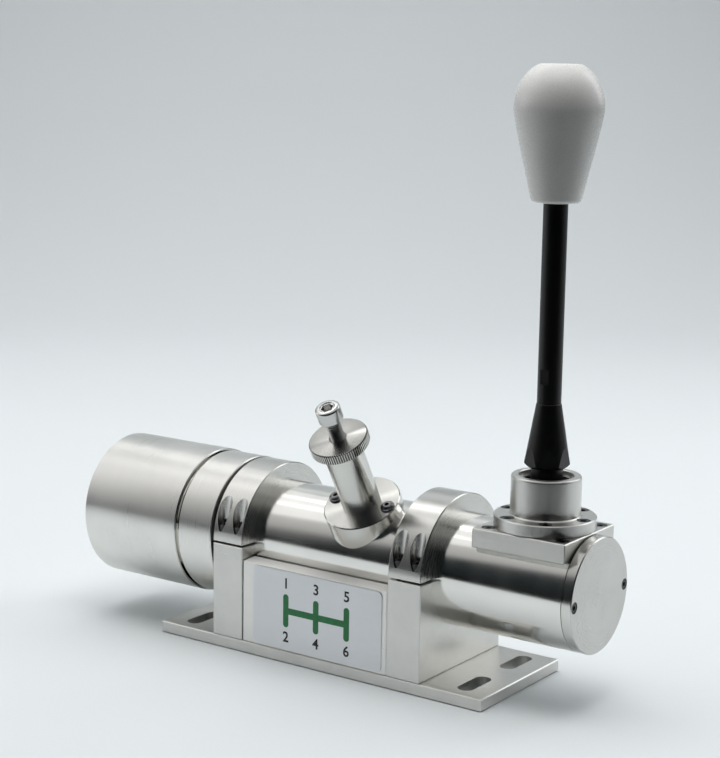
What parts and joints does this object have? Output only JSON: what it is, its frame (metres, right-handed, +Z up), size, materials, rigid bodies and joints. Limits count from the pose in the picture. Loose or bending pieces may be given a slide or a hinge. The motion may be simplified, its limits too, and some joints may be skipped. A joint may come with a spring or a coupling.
{
  "type": "sim racing gear shifter",
  "caption": "Machined H-pattern gear shifter for sim racing: a clamped tube on a slotted base plate, a tall lever with a pear-shaped knob, a detent plunger and a sensor can.",
  "frame": {"origin": "centre of the base plate's underside", "axes": "+X along the tube to the lever's end, +Y to the rear panel, +Z up; the labelled front panel faces -Y"},
  "size_m": [0.315, 0.0967, 0.3214],
  "materials": {
    "machined_aluminium": "turned and milled, bright",
    "black_screws": "black oxide",
    "label_plate": "fine brushed",
    "bronze": "sintered bronze",
    "steel": "ground",
    "magnet": "nickel plated",
    "stainless": "bright",
    "black_lever": "satin black",
    "white_plastic": "semi-gloss",
    "circuit_board": "solder mask"
  },
  "bodies": {
    "base": {"base_plate": "machined_aluminium", "base_screws": "black_screws", "panel_screws": "black_screws", "left_clamp_block": "machined_aluminium", "right_clamp_block": "machined_aluminium", "left_clamp_cap": "machined_aluminium", "right_clamp_cap": "machined_aluminium", "clamp_screws": "black_screws", "main_tube": "machined_aluminium", "end_cap": "machined_aluminium", "end_cap_screws": "black_screws", "flange_ring": "machined_aluminium", "ring_set_screws": "black_screws", "sensor_can": "machined_aluminium", "can_screws": "black_screws", "front_panel": "machined_aluminium", "rear_panel": "machined_aluminium", "name_label": "label_plate", "lever_pad": "machined_aluminium", "pad_screws": "black_screws", "pivot_housing": "machined_aluminium", "flange_screws": "black_screws", "lower_cup": "bronze", "upper_cup": "bronze", "retaining_ring": "steel", "bush_carriers": "machined_aluminium", "rod_bushes": "bronze", "gate_sleeve": "machined_aluminium", "gate_tie_screws": "black_screws", "bearing_plate": "machined_aluminium", "bearing_outer_ring": "steel", "bearing_balls": "steel", "standoffs": "steel", "board_spacers": "steel", "sensor_board": "circuit_board", "shift_sensor_board": "circuit_board", "data_socket": "steel", "plunger_housing": "machined_aluminium", "plunger_screws": "black_screws", "detent_spring": "steel"},
    "pivot_pin": {"pivot_pin": "steel"},
    "lever": {"lever_stem": "black_lever", "finger_ball": "steel", "lever_base": "black_lever", "lever_rod": "black_lever", "knob": "white_plastic"},
    "select_sleeve": {"select_sleeve": "steel", "bearing_inner_ring": "steel", "select_magnet": "magnet"},
    "selector_rod": {"selector_rod": "steel", "selector_head": "steel", "head_set_screw": "black_screws", "gate_finger": "steel", "shift_magnet": "magnet"},
    "detent_ball": {"detent_ball": "steel"},
    "spring_seat": {"spring_seat": "steel"},
    "adjuster": {"adjuster_screw": "stainless"},
    "lock_nut": {"knurled_nut": "machined_aluminium"}
  },
  "joints": [
    {"name": "lever_select", "type": "hinge", "parent": "base", "child": "pivot_pin", "pos_m": [0.1168, 0, 0.106], "axis": [1, 0, 0], "range_deg": [-8, 8]},
    {"name": "lever_shift", "type": "hinge", "parent": "pivot_pin", "child": "lever", "pos_m": [0.1168, 0, 0.106], "axis": [0, 1, 0], "range_deg": [-13, 13]},
    {"name": "select_turn", "type": "hinge", "parent": "base", "child": "select_sleeve", "pos_m": [-0.14, 0, 0.0594], "axis": [1, 0, 0], "range_deg": [-17, 17]},
    {"name": "shift_slide", "type": "slide", "parent": "select_sleeve", "child": "selector_rod", "axis": [1, 0, 0], "range_m": [-0.0075, 0.0075]},
    {"name": "detent_lift", "type": "slide", "parent": "base", "child": "detent_ball", "axis": [0, -0.5, 0.866], "range_m": [-0.0005, 0.0003], "stiffness_N_per_m": 2000, "deforming": ["detent_spring"]},
    {"name": "preload_travel", "type": "slide", "parent": "base", "child": "spring_seat", "axis": [0, -0.5, 0.866], "range_m": [-0.0025, 0.0025], "deforming": ["detent_spring"]},
    {"name": "adjuster_turn", "type": "hinge", "parent": "spring_seat", "child": "adjuster", "pos_m": [0.0155, -0.04, 0.12868], "axis": [0, -0.5, 0.866], "range_deg": [-721, 721]},
    {"name": "lock_nut_turn", "type": "hinge", "parent": "base", "child": "lock_nut", "pos_m": [0.0155, -0.039, 0.12695], "axis": [0, -0.5, 0.866], "range_deg": [0, 180]}
  ],
  "couplings": [
    {"joint": "select_turn", "follows": "lever_select", "ratio": -2.096},
    {"joint": "shift_slide", "follows": "lever_shift", "m_per_rad": -0.0325},
    {"joint": "adjuster_turn", "follows": "preload_travel", "rad_per_m": 5026.5}
  ]
}
